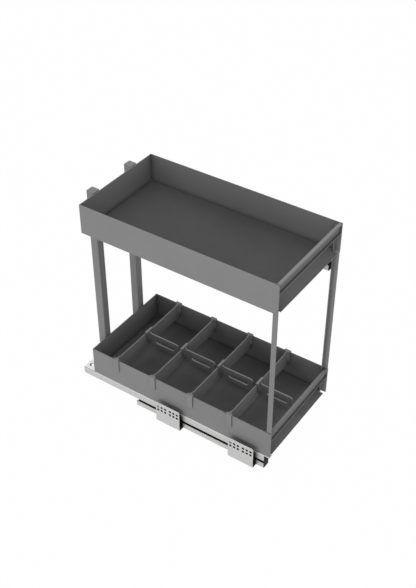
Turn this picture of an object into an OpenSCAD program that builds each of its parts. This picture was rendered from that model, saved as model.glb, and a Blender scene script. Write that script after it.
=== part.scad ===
// Two-tier pull-out organizer for a narrow kitchen cabinet.
// Two open trays on four posts run out on two telescopic ball slides:
// one under the near edge of the lower tray, one under the far edge of the upper tray.
// X points out of the cabinet, Y from the near side to the far side, Z up.
// The origin is the centre of the hole pattern in the lower front bracket.

/* [Trays] */
// Length of a tray from its rear wall to its front
tray_l = 475; // [450:1:520]
// Width of a tray over its side walls
tray_w = 244; // [180:1:400]
// Height of a tray's side wall
tray_h = 71; // [64:1:120]
// Height from one tray to the next
tier_pitch = 392; // [250:1:520]
// Thickness of the folded steel sheet
sheet_t = 1.5; // [1:0.1:2]
// Outer radius of a fold in the sheet
bend_r = 2.2; // [2.1:0.1:3]
// Width of the inward flange that carries the floor
flange_w = 15; // [12:0.5:18]
// Gap between the floor's edge and the walls
floor_gap = 0.8; // [0.5:0.1:2]
// Height of the lip folded down at the upper floor's front
floor_lip_h = 1.8; // [1.6:0.1:3]
// How far the lower floor stops short of the front
lower_floor_setback = 1.5; // [0:0.1:3]
// Thickness of the non-slip mat
mat_t = 1.2; // [0.8:0.1:2.5]
// Gap between the mat's edge and the walls
mat_gap = 1.2; // [0.6:0.1:3]
// Width of the relief at the foot of the rear wall's corners
relief_w = 2; // [2:0.5:5]
// Height of the relief at the foot of the rear wall's corners
relief_h = 3; // [2:0.5:8]

/* [Front rails] */
// Depth of a front rail
rail_d = 7.2; // [6.6:0.1:10]
// Height of the upper front rail
upper_rail_h = 24.2; // [20:0.1:30]
// Height of the lower front rail
lower_rail_h = 23.8; // [18:0.1:28]
// Nose radius of the upper front rail
upper_nose_r = 1; // [0.5:0.1:3]
// Nose radius of the lower front rail
lower_nose_r = 3.6; // [1:0.1:4]
// Upright part of a rail's face below its nose
face_h = 1.2; // [0.5:0.1:3]
// Depth of the undercut below the face
undercut_d = 3.6; // [1:0.1:4.6]
// Height over which the face curls in to the undercut's depth
undercut_h = 6; // [4:0.5:8]
// Thickness of the rail's walls
rail_wall = 1.6; // [1.2:0.1:2]
// Height of the lip at the foot of a rail
rail_lip_h = 2; // [1.8:0.1:3]
// Thickness of the lip's upturned edge
rail_lip_t = 0.9; // [0.6:0.1:1]
// Width of the lug behind each end of a rail
lug_w = 7; // [4:0.5:8]
// Depth of a lug's top below the rim
lug_drop = 12; // [8:0.5:15]
// Length of a door-fixing slot, end to end
slot_l = 14; // [10:0.5:18]
// Width of a door-fixing slot
slot_w = 4; // [3:0.1:5]
// Depth of the slots below the rail's top
slot_drop = 5.5; // [4.6:0.1:6]
// Distance of the first slot's centre from the tray's side
slot_in = 19.5; // [18:0.5:30]
// Distance between two neighbouring slots
slot_pitch = 20; // [19:0.5:30]

/* [Posts] */
// Leg of a front post along the side wall
post_leg_x = 12.4; // [11.6:0.1:16]
// Leg of a front post across the tray
post_leg_y = 8.4; // [8:0.1:12]
// How far a front post stays below the upper rim
post_drop = 4; // [1:0.5:15]
// Clearance of the floor around a front post
post_clear = 1.2; // [0.5:0.1:2]
// Side of a square rear post
tube_w = 20; // [15:0.5:30]
// Wall of a rear post
tube_t = 1.5; // [1:0.1:2.5]
// Corner radius of a rear post
tube_r = 2.2; // [2.1:0.1:4]
// Distance between the two rear posts
tube_pitch = 126; // [70:1:140]
// Thickness of the weld pads between rear posts and rear walls
pad_t = 1.8; // [1:0.1:4]
// Width of a weld pad
pad_w = 14; // [8:0.5:15]
// Height of a weld pad
pad_h = 46; // [20:1:56]
// Thickness of a post cap's plate
cap_t = 1.5; // [1:0.1:3]
// Length of a post cap's plug
plug_l = 10; // [5:0.5:20]

/* [Slides] */
// Width of a slide
slide_w = 18; // [17:0.1:22]
// Length of the drawer rail
drawer_rail_l = 493; // [470:1:510]
// Length of the middle rail
middle_rail_l = 331; // [300:1:332]
// Length of the cabinet rail
cabinet_rail_l = 340; // [335:1:380]
// Full travel of the pull-out
travel = 430; // [380:1:432]
// Wall of the cabinet and drawer rails
race_wall = 2.2; // [1.8:0.1:2.6]
// Web of the cabinet and drawer rails
web_t = 2; // [1.5:0.1:2.2]
// Height of the cabinet rail
cabinet_rail_h = 13.2; // [12.8:0.1:14]
// Height of the drawer rail
drawer_rail_h = 16.3; // [15.9:0.1:17]
// Open gap between the cabinet rail and the drawer rail
rail_gap = 7.4; // [6:0.1:9]
// Radius of a bearing ball
ball_r = 2.5; // [2.2:0.05:2.6]
// Play of a ball in its race
race_play = 0.1; // [0.05:0.01:0.2]
// Depth of a ball race
race_depth = 0.8; // [0.5:0.05:1]
// Height of the ball centres from the open edge of their rail
ball_drop = 4.6; // [4.2:0.1:4.8]
// Distance between neighbouring balls
ball_pitch = 20; // [14:1:30]
// Thickness of a ball cage
cage_t = 0.9; // [0.6:0.05:1]
// Running gap above and below a ball cage
cage_gap = 0.3; // [0.2:0.05:0.4]
// Thickness of the middle rail's web
middle_web_t = 2.4; // [1.6:0.1:3]
// Thickness of the carrier strip on the drawer rail
carrier_t = 1.5; // [1:0.1:2]
// Width of the carrier strip
carrier_w = 28; // [24:0.5:34]
// How far the carrier strip stays behind the rail's face
carrier_inset = 0.8; // [0:0.1:2]
// Height of the tab at the carrier strip's front end
carrier_tab_h = 2.4; // [1.5:0.1:3]
// Height of the spacer bar between the upper slide and its tray
spacer_h = 4.2; // [2:0.1:10]
// Width of the spacer bar
spacer_w = 14; // [10:0.5:17]
// Distance of the spacer bar's front end from the tray's front
spacer_setback = 45; // [30:1:80]
// Thickness of a slide's end cap
end_cap_t = 1.2; // [1:0.1:3]
// Length of the end cap's plug in the drawer rail
end_plug_l = 8; // [5:0.5:10]
// Width of the notch in the end cap's inner side
cap_notch_w = 10; // [4:0.5:12]
// Height of the notch above the cabinet rail
cap_notch_rise = 3.3; // [1:0.1:4]
// Radius of the hooking hole at a slide's rear end
hook_r = 5; // [3:0.5:6]
// Radius of the drawer rail's rounded rear corner
heel_r = 6; // [2:0.5:8]
// Radius of the locating hole in the drawer rail
pilot_r = 1.8; // [1:0.1:3]

/* [Brackets] */
// Length of a bracket
bracket_l = 64; // [60:1:90]
// Height of a bracket's plate
bracket_h = 56; // [52:0.5:60]
// Gap between the bracket's outer face and the slide
bracket_off = 12.8; // [8:0.1:30]
// Thickness of a bracket
bracket_t = 1.5; // [1.5:0.1:2.4]
// Distance between the two brackets of a slide
bracket_pitch = 192; // [160:32:224]
// Distance from the tray's front to the front bracket's centre
bracket_in = 65.3; // [55:0.1:75]
// Radius of a bracket's upper corners
bracket_r = 5; // [1:0.5:6]
// Radius of a fixing hole
hole_r = 2.6; // [2:0.1:3]
// Distance between neighbouring fixing holes
hole_pitch = 9.5; // [9:0.1:10]
// Distance between the two groups of fixing holes
group_pitch = 32; // [32:1:36]
// Height of the upper row of holes above the rail's underside
hole_top = 44; // [40:0.5:48]
// Distance from a bracket's centre to each rivet
rivet_off = 20; // [10:0.5:26]
// Radius of a rivet's shank
rivet_r = 2.4; // [1.5:0.1:3]

/* [Dividers] */
// Distance from the tray's front to the last cross divider
last_div_in = 104; // [98:1:108]
// Distance between neighbouring cross dividers
div_pitch = 101; // [96:1:104]
// Number of cross dividers
div_count = 4; // [1:1:4]
// Thickness of a cross divider
div_t = 2.4; // [1.6:0.1:3]
// Height of a cross divider
div_h = 40; // [30:0.5:56]
// Width of a clip over the tray's rim
clip_w = 15; // [10:0.5:20]
// Thickness of a clip
clip_t = 1.6; // [1.2:0.1:2.4]
// Thickness of a clip's top over the rim
clip_top_t = 2.3; // [1.5:0.1:4]
// Clearance of a clip around what it grips
clip_gap = 0.3; // [0.2:0.05:0.5]
// Height of a clip's outer tab
outer_tab_h = 34; // [20:0.5:50]
// Height of a clip's inner tab
inner_tab_h = 28; // [15:0.5:36]
// Radius of a tab's lower corners
tab_r = 5; // [2:0.5:5]
// Length of the raised end of a cross divider
raised_l = 14; // [8:0.5:20]
// Length of the ramp down from a raised end
ramp_l = 2.5; // [1:0.1:5]
// Radius of the flare from a plate into its clip
flare_r = 5.5; // [3:0.1:6]
// Reach of a tongue from its cross divider
tongue_l = 83; // [70:0.5:86]
// Height of a tongue
tongue_h = 34; // [26:0.5:36]
// Thickness of a tongue
tongue_t = 3; // [2:0.1:4]
// Depth of a tongue's upper edge below the rim
tongue_drop = 4; // [2:0.5:8]
// Radius of a tongue's free corners
tongue_r = 8; // [4:0.5:12]
// Length of the finger slot
finger_l = 53; // [35:0.5:54]
// Height of the finger slot
finger_h = 12; // [8:0.5:14]
// Distance from the cross divider to the finger slot
finger_in = 17.3; // [15:0.1:18]
// Length of the saddle over a cross divider
saddle_l = 24; // [16:0.5:30]
// Thickness of the saddle's top
saddle_t = 3.2; // [2.4:0.1:5]
// Radius of the saddle's top edges
saddle_r = 2; // [1:0.1:2.2]

/* [Screws] */
// Radius of a slide screw's shank
screw_r = 2; // [1.5:0.1:2.5]
// Radius of a slide screw's head
screw_head_r = 3.6; // [3:0.1:3.9]
// Clearance around a screw or rivet
screw_play = 0.1; // [0.05:0.01:0.2]
// Number of screws that hold a slide
screw_count = 4; // [2:1:6]
// Distance of the end screws from the tray's ends
screw_in = 40; // [30:1:60]

/* [Hidden] */
$fn = 48;
eps = 0.01;
over = 1;
run_gap = 0.3;
run_margin = 2;
slide_h = cabinet_rail_h + rail_gap + drawer_rail_h + carrier_t;
lower_z = slide_h;
upper_z = lower_z + tier_pitch;
upper_slide_z = upper_z - spacer_h - slide_h;
lower_rim_z = lower_z + tray_h;
upper_rim_z = upper_z + tray_h;
notch_x = post_leg_x + post_clear;
notch_y = sheet_t + post_leg_y + post_clear;
rail_front_x = tray_l - post_leg_x - run_gap - end_cap_t;
rail_setback = tray_l - rail_front_x;
carrier_z = slide_h - carrier_t;
carrier_tab_t = sheet_t - screw_play;
carrier_tab_z = carrier_t + carrier_tab_h - run_gap;
drawer_z = cabinet_rail_h + rail_gap;
race_r = ball_r + race_play;
ball_y = race_wall + race_r - race_depth;
bulb_y = ball_y + race_r - race_depth;
low_ball_z = cabinet_rail_h - ball_drop;
high_ball_z = drawer_z + ball_drop;
bulb_low_z = web_t + 2 * cage_gap + cage_t;
bulb_high_z = carrier_z - web_t - 2 * cage_gap - cage_t;
bulb_edge = ball_drop - cage_gap - run_gap;
strip_edge = ball_r + 1.1;
middle_end_x = rail_front_x - end_plug_l - run_gap;
middle_x = middle_end_x - middle_rail_l;
cabinet_x = rail_front_x - run_gap - cabinet_rail_l;
low_cage_x = max(middle_x + travel / 4, cabinet_x) + run_margin;
high_cage_x = max(rail_front_x - drawer_rail_l + travel / 4, middle_x) + run_margin;
cage_end_x = middle_end_x - travel / 4 - run_margin;
low_cage_l = cage_end_x - low_cage_x;
high_cage_l = cage_end_x - high_cage_x;
bracket_low = -bracket_t;
bracket_bend_r = bracket_t + 1;
rivet_head_h = 1.2;
rivet_head_r = rivet_r + 1.9;
hook_x = rail_front_x - drawer_rail_l + hook_r + heel_r;
hook_y = carrier_inset + carrier_w / 2;
hole_mid_z = hole_top - hole_pitch / 2;
datum = [tray_l - bracket_in, -bracket_off, hole_mid_z];

GREY = [0.50, 0.50, 0.50];
DARK = [0.27, 0.27, 0.27];
MID = [0.40, 0.40, 0.40];
ZINC = [0.77, 0.77, 0.76];
STEEL = [0.62, 0.62, 0.63];
BLACK = [0.10, 0.10, 0.10];

// Moves the build frame, which starts at the near lower rear corner, to the datum
module placed() {
    translate(-datum) children();
}

// Extrudes a Y-Z outline along X
module along_x(length) {
    rotate([90, 0, 90]) linear_extrude(length) children();
}

// Extrudes an X-Z outline along Y
module along_y(length) {
    translate([0, length, 0]) rotate([90, 0, 0]) linear_extrude(length) children();
}

// Folded angle: one leg along the first axis, one along the second
module angle_section(leg_a, leg_b, t, r) {
    translate([r, 0]) square([leg_a - r, t]);
    translate([0, r]) square([t, leg_b - r]);
    translate([r, r]) intersection() {
        difference() {
            circle(r);
            circle(r - t);
        }
        translate([-r, -r]) square(r);
    }
}

// What is left of a square corner outside its round
module corner_waste(r) {
    difference() {
        translate([-over, -over]) square(r + over);
        translate([r, r]) circle(r);
    }
}

// Rectangle with rounded corners, its lower left corner at the origin
module round_rect(w, h, r) {
    translate([r, 0]) square([w - 2 * r, h]);
    translate([0, r]) square([w, h - 2 * r]);
    for (x = [r, w - r]) {
        for (y = [r, h - r]) {
            translate([x, y]) circle(r);
        }
    }
}

// Oblong with full round ends, centred
module oblong(length, width) {
    square([length - width, width], center = true);
    for (s = [-1, 1]) {
        translate([s * (length - width) / 2, 0]) circle(width / 2);
    }
}

// Hanging tab with two rounded lower corners, its top edge centred on the origin
module tab_outline(w, h, r) {
    translate([-w / 2, r - h]) square([w, h - r]);
    translate([r - w / 2, -h]) square([w - 2 * r, h]);
    for (s = [-1, 1]) {
        translate([s * (w / 2 - r), r - h]) circle(r);
    }
}

// Turns a near-side piece into the far-side piece of the same tray
module on_side(far) {
    if (far) {
        translate([0, tray_w, 0]) mirror([0, 1, 0]) children();
    } else {
        children();
    }
}

// Side wall with its floor flange, open at the front for the post
module side_panel(z, far, with_slide, tab_notch) {
    placed() translate([0, 0, z]) on_side(far) color(GREY) difference() {
        along_x(tray_l) angle_section(flange_w, tray_h, sheet_t, bend_r);
        translate([tray_l - notch_x, sheet_t, -over]) cube([notch_x + over, flange_w, bend_r + over]);
        if (tab_notch) {
            translate([rail_front_x, -over, -over])
                cube([rail_setback + over, flange_w, carrier_tab_h + over]);
        }
        if (with_slide) {
            screw_bores(-over, sheet_t + over);
        }
    }
}

// Rear wall with its floor flange and a relief at each lower corner
module back_panel(z) {
    span = tray_w - 2 * sheet_t;
    placed() translate([0, sheet_t, z]) color(GREY) difference() {
        along_y(span) angle_section(flange_w, tray_h, sheet_t, bend_r);
        for (y = [-over, span + sheet_t - flange_w - floor_gap]) {
            translate([-over, y, -over])
                cube([flange_w + 2 * over, flange_w + floor_gap + over - sheet_t, bend_r + over]);
        }
        for (y = [-over, span - relief_w]) {
            translate([-over, y, -over])
                cube([bend_r + over, relief_w + over, 2 * sheet_t + relief_h + over]);
        }
    }
}

// Outline of a floor or mat, with the front corners cut out around the posts
module floor_outline(gap, front, clear) {
    difference() {
        translate([sheet_t + gap, sheet_t + gap])
            square([front - sheet_t - gap, tray_w - 2 * (sheet_t + gap)]);
        for (y = [-over, tray_w - notch_y - clear]) {
            translate([tray_l - notch_x - clear, y])
                square([notch_x + clear + over, notch_y + clear + over]);
        }
    }
}

// Folded floor: flat sheet, with a lip at the front of the upper one
module tray_floor(z, front, lip_h, far) {
    placed() translate([0, 0, z]) color(MID) difference() {
        union() {
            translate([0, 0, sheet_t]) linear_extrude(sheet_t) floor_outline(floor_gap, front, 0);
            if (lip_h > sheet_t) {
                translate([front - sheet_t, notch_y, 2 * sheet_t - lip_h])
                    cube([sheet_t, tray_w - 2 * notch_y, lip_h]);
            }
        }
        on_side(far) screw_bores(sheet_t - over, 2 * sheet_t + over);
        on_side(far) screw_sinks();
    }
}

// Non-slip mat on the floor
module tray_mat(z, front) {
    placed() translate([0, 0, z + 2 * sheet_t]) color(DARK)
        linear_extrude(mat_t) floor_outline(mat_gap, front - mat_gap, mat_gap);
}

// Point on a front rail's face, from below its nose (s = 0) to the undercut's full depth (s = 1)
function rail_face(nose, s) =
    [undercut_d * (cos(180 * s) - 1) / 2, -nose - face_h - undercut_h * s];

// Outline of a front rail, top front corner at the origin
function rail_outline(h, nose) = concat(
    [[-rail_d, 0]],
    [for (a = [90 : -15 : 0]) [nose * (cos(a) - 1), nose * (sin(a) - 1)]],
    [for (s = [0 : 0.125 : 1]) rail_face(nose, s)],
    [
        [-undercut_d, rail_lip_h / 2 - h],
        [-rail_lip_t, rail_lip_h / 2 - h],
        [-rail_lip_t, rail_lip_h - h],
        [0, rail_lip_h - h],
        [0, -h],
        [-rail_d, -h]
    ]
);

// Outline of the hollow behind a front rail's face
function rail_hollow(h, nose) = concat(
    [[-rail_d - over, rail_wall - h], [-rail_d - over, -rail_wall], [-nose - rail_wall, -rail_wall]],
    [for (s = [0 : 0.125 : 1]) rail_face(nose, s) - [rail_wall, 0]],
    [[-undercut_d - rail_wall, rail_wall - h]]
);

module rail_section(h, nose) {
    difference() {
        polygon(rail_outline(h, nose));
        polygon(rail_hollow(h, nose));
    }
}

// Front rail between the posts, with a lug behind each end
module front_rail(rim_z, h, nose, slots) {
    start_y = 2 * sheet_t + clip_gap;
    span = tray_w - 2 * start_y;
    lug_x = post_leg_x - sheet_t;
    placed() translate([tray_l, start_y, rim_z]) color(GREY) difference() {
        union() {
            along_y(span) rail_section(h, nose);
            for (y = [0, span - lug_w]) {
                translate([-lug_x, y, -h]) cube([lug_x - undercut_d - rail_wall / 2, lug_w, h - lug_drop]);
            }
        }
        if (slots) {
            for (i = [0, 1]) {
                for (y = [slot_in + i * slot_pitch, tray_w - slot_in - i * slot_pitch]) {
                    translate([-rail_d - over, y - start_y, -slot_drop])
                        along_x(rail_d + 2 * over) oblong(slot_l, slot_w);
                }
            }
        }
    }
}

// Front post: an angle inside the corner of both trays
module front_post(far) {
    length = upper_rim_z - post_drop - lower_z;
    placed() on_side(far) color(GREY) translate([tray_l - post_leg_x, sheet_t, lower_z])
        linear_extrude(length) angle_section(post_leg_x, post_leg_y, sheet_t, bend_r);
}

// Y of a rear post's centre
function tube_y(far) = (tray_w + (far ? tube_pitch : -tube_pitch)) / 2;

// Rear post: a square tube behind both rear walls
module rear_post(far) {
    placed() color(GREY)
        translate([-pad_t - tube_w, tube_y(far) - tube_w / 2, lower_z + cap_t])
        linear_extrude(upper_rim_z - lower_z - 2 * cap_t) difference() {
            round_rect(tube_w, tube_w, tube_r);
            translate([tube_t, tube_t]) square(tube_w - 2 * tube_t);
        }
}

// Weld pads between the rear posts and both rear walls
module rear_post_pads() {
    placed() color(GREY) for (far = [false, true]) {
        for (z = [lower_z, upper_z]) {
            translate([-pad_t, tube_y(far) - pad_w / 2, z + (tray_h - pad_h) / 2])
                cube([pad_t, pad_w, pad_h]);
        }
    }
}

// Caps that close the rear posts at both ends
module rear_post_caps() {
    placed() color(GREY) for (far = [false, true]) {
        translate([-pad_t - tube_w / 2, tube_y(far), upper_rim_z - cap_t]) post_cap();
        translate([-pad_t - tube_w / 2, tube_y(far), lower_z + cap_t]) mirror([0, 0, 1]) post_cap();
    }
}

module post_cap() {
    plug_w = tube_w - 2 * tube_t - 2 * screw_play;
    translate([-tube_w / 2, -tube_w / 2, 0]) linear_extrude(cap_t) round_rect(tube_w, tube_w, tube_r);
    translate([-plug_w / 2, -plug_w / 2, -plug_l]) cube([plug_w, plug_w, plug_l + eps]);
}

// Puts a slide's piece under its tray: the lower slide on the near side, the upper one on the far side
module at_slide(upper) {
    if (upper) {
        placed() translate([0, tray_w, upper_slide_z]) mirror([0, 1, 0]) children();
    } else {
        placed() children();
    }
}

// Cylinders along Y or through the sheet, cut as races and bores
module race_pair(z) {
    for (y = [ball_y, slide_w - ball_y]) {
        translate([y, z]) circle(race_r);
    }
}

// Rail screwed to the brackets, open upwards
module cabinet_rail(upper) {
    at_slide(upper) color(ZINC) difference() {
        translate([cabinet_x, 0, 0]) along_x(cabinet_rail_l) difference() {
            square([slide_w, cabinet_rail_h]);
            translate([race_wall, web_t]) square([slide_w - 2 * race_wall, cabinet_rail_h]);
            race_pair(low_ball_z);
        }
        rivet_places() translate([0, 0, -over]) cylinder(h = web_t + 2 * over, r = rivet_r + screw_play);
    }
}

// Rail between the other two, with two races on each side
module middle_rail(upper) {
    at_slide(upper) color(ZINC) translate([middle_x, 0, 0]) along_x(middle_rail_l) difference() {
        union() {
            translate([bulb_y, bulb_low_z])
                square([slide_w - 2 * bulb_y, low_ball_z + bulb_edge - bulb_low_z]);
            translate([bulb_y, high_ball_z - bulb_edge])
                square([slide_w - 2 * bulb_y, bulb_high_z - high_ball_z + bulb_edge]);
            translate([(slide_w - middle_web_t) / 2, bulb_low_z])
                square([middle_web_t, bulb_high_z - bulb_low_z]);
        }
        race_pair(low_ball_z);
        race_pair(high_ball_z);
    }
}

// Rail that carries the tray, open downwards, with a rounded heel at the rear
module drawer_rail(upper) {
    rear_x = rail_front_x - drawer_rail_l;
    at_slide(upper) color(ZINC) difference() {
        translate([rear_x, 0, drawer_z]) along_x(drawer_rail_l) difference() {
            square([slide_w, drawer_rail_h]);
            translate([race_wall, -web_t]) square([slide_w - 2 * race_wall, drawer_rail_h]);
            race_pair(high_ball_z - drawer_z);
            for (m = [0, 1]) {
                translate([m * slide_w, drawer_rail_h]) mirror([m, 0]) mirror([0, 1])
                    corner_waste(web_t / 2);
            }
        }
        translate([rear_x, -over, drawer_z]) along_y(slide_w + 2 * over) corner_waste(heel_r);
        translate([hook_x, hook_y, drawer_z]) cylinder(h = drawer_rail_h + over, r = hook_r);
        translate([screw_in / 2, -over, high_ball_z + race_r / 2])
            rotate([-90, 0, 0]) cylinder(h = race_wall + 2 * over, r = pilot_r);
        translate([0, 0, slide_h]) screw_bores(-carrier_t - web_t - over, over);
    }
}

// Flat strip between the drawer rail and the tray, with a tab at its front end
module carrier_strip(upper) {
    rear_x = rail_front_x - drawer_rail_l;
    at_slide(upper) color(ZINC) difference() {
        union() {
            translate([rear_x, carrier_inset, carrier_z])
                cube([drawer_rail_l, carrier_w, carrier_t]);
            if (!upper) {
                translate([rail_front_x - over, 0, carrier_z]) cube([rail_setback, notch_y, carrier_t]);
                translate([rail_front_x + run_gap, 0, carrier_z])
                    cube([rail_setback - over - run_gap, carrier_tab_t, carrier_tab_z]);
            }
        }
        translate([hook_x, hook_y, carrier_z - over]) cylinder(h = carrier_t + 2 * over, r = hook_r);
        translate([0, 0, slide_h]) screw_bores(-carrier_t - over, over);
    }
}

// Bar that fills the height between the upper slide and its tray
module upper_spacer_bar() {
    at_slide(true) color(ZINC) difference() {
        translate([screw_in / 2, carrier_inset + (slide_w - spacer_w) / 2, slide_h])
            cube([tray_l - spacer_setback - screw_in / 2, spacer_w, spacer_h]);
        translate([0, 0, slide_h]) screw_bores(-over, spacer_h + over);
    }
}

// Row of ball centres along a cage
function ball_row(start_x, length) = [
    for (i = [0 : floor((length - 2 * strip_edge) / ball_pitch)]) start_x + strip_edge + i * ball_pitch
];

// Cage: two side strips with ball holes, joined over the bulb
module ball_cage(start_x, length, ball_z, base_z, edge_z) {
    low = min(base_z, edge_z);
    high = max(base_z + cage_t, edge_z);
    difference() {
        translate([start_x, 0, 0]) along_x(length) {
            for (y = [ball_y, slide_w - ball_y]) {
                translate([y - cage_t / 2, low]) square([cage_t, high - low]);
            }
            translate([ball_y - cage_t / 2, base_z]) square([slide_w - 2 * ball_y + cage_t, cage_t]);
        }
        for (x = ball_row(start_x, length)) {
            translate([x, 0, ball_z]) rotate([-90, 0, 0]) cylinder(h = slide_w, r = race_r + race_play);
        }
    }
}

module cabinet_cage(upper) {
    at_slide(upper) color(STEEL)
        ball_cage(low_cage_x, low_cage_l, low_ball_z, web_t + cage_gap, low_ball_z + strip_edge);
}

module drawer_cage(upper) {
    at_slide(upper) color(STEEL)
        ball_cage(high_cage_x, high_cage_l, high_ball_z, bulb_high_z + cage_gap, high_ball_z - strip_edge);
}

// Balls of one cage
module ball_set(upper, start_x, length, z) {
    at_slide(upper) color(STEEL) for (x = ball_row(start_x, length)) {
        for (y = [ball_y, slide_w - ball_y]) {
            translate([x, y, z]) sphere(ball_r);
        }
    }
}

// Plastic cap in front of the whole slide, plugged into the drawer rail
module end_cap(upper) {
    plug_y = race_wall + screw_play;
    plug_z = drawer_z + web_t;
    at_slide(upper) color(BLACK) {
        translate([rail_front_x, 0, 0]) along_x(end_cap_t) difference() {
            square([slide_w, carrier_z]);
            translate([slide_w - cap_notch_w, cabinet_rail_h + cap_notch_rise])
                square([cap_notch_w + over, plug_z - cabinet_rail_h - cap_notch_rise]);
            for (m = [0, 1]) {
                translate([m * slide_w, 0]) mirror([m, 0]) corner_waste(web_t / 2);
                translate([m * slide_w, carrier_z]) mirror([m, 0]) mirror([0, 1]) corner_waste(web_t / 2);
            }
        }
        translate([rail_front_x - end_plug_l, plug_y, plug_z])
            cube([end_plug_l + eps, slide_w - 2 * plug_y, carrier_z - web_t - screw_play - plug_z]);
    }
}

// X of a bracket's centre: 0 is the front one, 1 the rear one
function bracket_x(i) = tray_l - bracket_in - i * bracket_pitch;

// Offsets of the six columns of fixing holes
function hole_columns() = [
    for (g = [-1, 1]) for (c = [-1, 0, 1]) g * group_pitch / 2 + c * hole_pitch
];

// Angle bracket: a plate for the cabinet's side, folded under the cabinet rail
module bracket(upper, i) {
    at_slide(upper) color(ZINC) difference() {
        translate([bracket_x(i) - bracket_l / 2, -bracket_off, bracket_low]) along_x(bracket_l)
            angle_section(bracket_off + slide_w - over, bracket_h, bracket_t, bracket_bend_r);
        for (m = [0, 1]) {
            translate([bracket_x(i) + (m - 0.5) * bracket_l, -bracket_off - over, bracket_low + bracket_h])
                mirror([m, 0, 0]) mirror([0, 0, 1]) along_y(bracket_t + 2 * over) corner_waste(bracket_r);
        }
        for (x = hole_columns()) {
            for (z = [hole_top, hole_top - hole_pitch]) {
                translate([bracket_x(i) + x, -bracket_off - over, z])
                    rotate([-90, 0, 0]) cylinder(h = bracket_t + 2 * over, r = hole_r);
            }
        }
        rivet_places() translate([0, 0, bracket_low - over])
            cylinder(h = bracket_t + 2 * over, r = rivet_r + screw_play);
    }
}

// Places of the rivets between brackets and cabinet rail
module rivet_places() {
    for (i = [0, 1]) {
        for (s = [-1, 1]) {
            translate([bracket_x(i) + s * rivet_off, slide_w / 2, 0]) children();
        }
    }
}

// Flat rivets: a coned head under the bracket, a shank up through the rail's web
module bracket_rivets() {
    for (upper = [false, true]) {
        at_slide(upper) color(STEEL) rivet_places() {
            translate([0, 0, bracket_low - eps]) cylinder(h = web_t + bracket_t - screw_play, r = rivet_r);
            translate([0, 0, bracket_low - rivet_head_h])
                cylinder(h = rivet_head_h, r1 = rivet_head_r - rivet_head_h, r2 = rivet_head_r);
        }
    }
}

// X of each slide screw
function screw_xs() = [
    for (i = [0 : screw_count - 1])
        screw_in + i * (tray_l - spacer_setback - 2 * screw_in) / (screw_count - 1)
];

// Bores for the slide screws between two heights over the tray's underside
module screw_bores(low, high) {
    for (x = screw_xs()) {
        translate([x, slide_w / 2, low]) cylinder(h = high - low, r = screw_r + screw_play);
    }
}

// Countersinks for the screw heads in the floor
module screw_sinks() {
    for (x = screw_xs()) {
        translate([x, slide_w / 2, sheet_t])
            cylinder(h = sheet_t + eps, r1 = screw_r + screw_play, r2 = screw_head_r + screw_play);
    }
}

// Countersunk screws from a floor down into its slide
module slide_screws(upper) {
    drop = carrier_t + web_t + (upper ? spacer_h : 0);
    top = 2 * sheet_t;
    placed() translate([0, 0, upper ? upper_z : lower_z]) on_side(upper) color(STEEL) for (x = screw_xs()) {
        translate([x, slide_w / 2, 0]) {
            translate([0, 0, -drop + screw_play]) cylinder(h = drop + top - 2 * screw_play, r = screw_r);
            translate([0, 0, sheet_t]) cylinder(h = sheet_t - screw_play, r1 = screw_r, r2 = screw_head_r);
        }
    }
}

// Flare that widens a plate into its clip, in plan: the plate comes in from below
module flare_plan(plate_t, r) {
    difference() {
        translate([-plate_t / 2 - r, -r]) square([plate_t + 2 * r, r]);
        for (s = [-1, 1]) {
            translate([s * (plate_t / 2 + r), -r]) circle(r);
        }
    }
}

// Clip over a rim: origin on the rim's outer edge, Y inwards
module rim_clip() {
    out_y = -clip_gap - clip_t;
    in_y = sheet_t + clip_gap;
    translate([0, out_y, clip_gap + eps]) along_y(clip_t) tab_outline(clip_w, outer_tab_h, tab_r);
    translate([0, in_y, clip_gap + eps]) along_y(clip_t) tab_outline(clip_w, inner_tab_h, tab_r);
    translate([-clip_w / 2, out_y, clip_gap]) cube([clip_w, in_y + clip_t - out_y, clip_top_t]);
    translate([-div_t / 2, in_y + eps, 0]) along_x(div_t) polygon([
        [0, -inner_tab_h / 2], [0, clip_gap + clip_top_t], [raised_l - ramp_l, clip_gap + clip_top_t],
        [raised_l, -eps], [raised_l, -inner_tab_h / 2]
    ]);
    translate([0, in_y + clip_t - eps, tab_r - inner_tab_h]) mirror([0, 1, 0])
        linear_extrude(inner_tab_h - tab_r + clip_gap + clip_top_t) flare_plan(div_t, flare_r);
}

// X of a cross divider
function div_x(k) = tray_l - last_div_in - (div_count - k) * div_pitch;

// Cross divider: a plate hung between the rims by its two clips
module cross_divider(k) {
    in_y = sheet_t + clip_gap;
    if (k <= div_count) {
        placed() translate([div_x(k), 0, lower_rim_z]) color(MID) {
            translate([-div_t / 2, in_y, -div_h]) cube([div_t, tray_w - 2 * in_y, div_h]);
            for (far = [false, true]) {
                on_side(far) rim_clip();
            }
        }
    }
}

// Outline of a tongue in its own plane: X from the cross divider's face, Z from the rim
module tongue_outline() {
    difference() {
        translate([0, -tongue_drop - tongue_h]) square([tongue_l, tongue_h]);
        translate([tongue_l, -tongue_drop]) mirror([1, 0]) mirror([0, 1]) corner_waste(tongue_r);
        translate([tongue_l, -tongue_drop - tongue_h]) mirror([1, 0]) corner_waste(tongue_r);
        translate([finger_in + finger_l / 2, -tongue_drop - tongue_h / 2]) oblong(finger_l, finger_h);
    }
}

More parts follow.
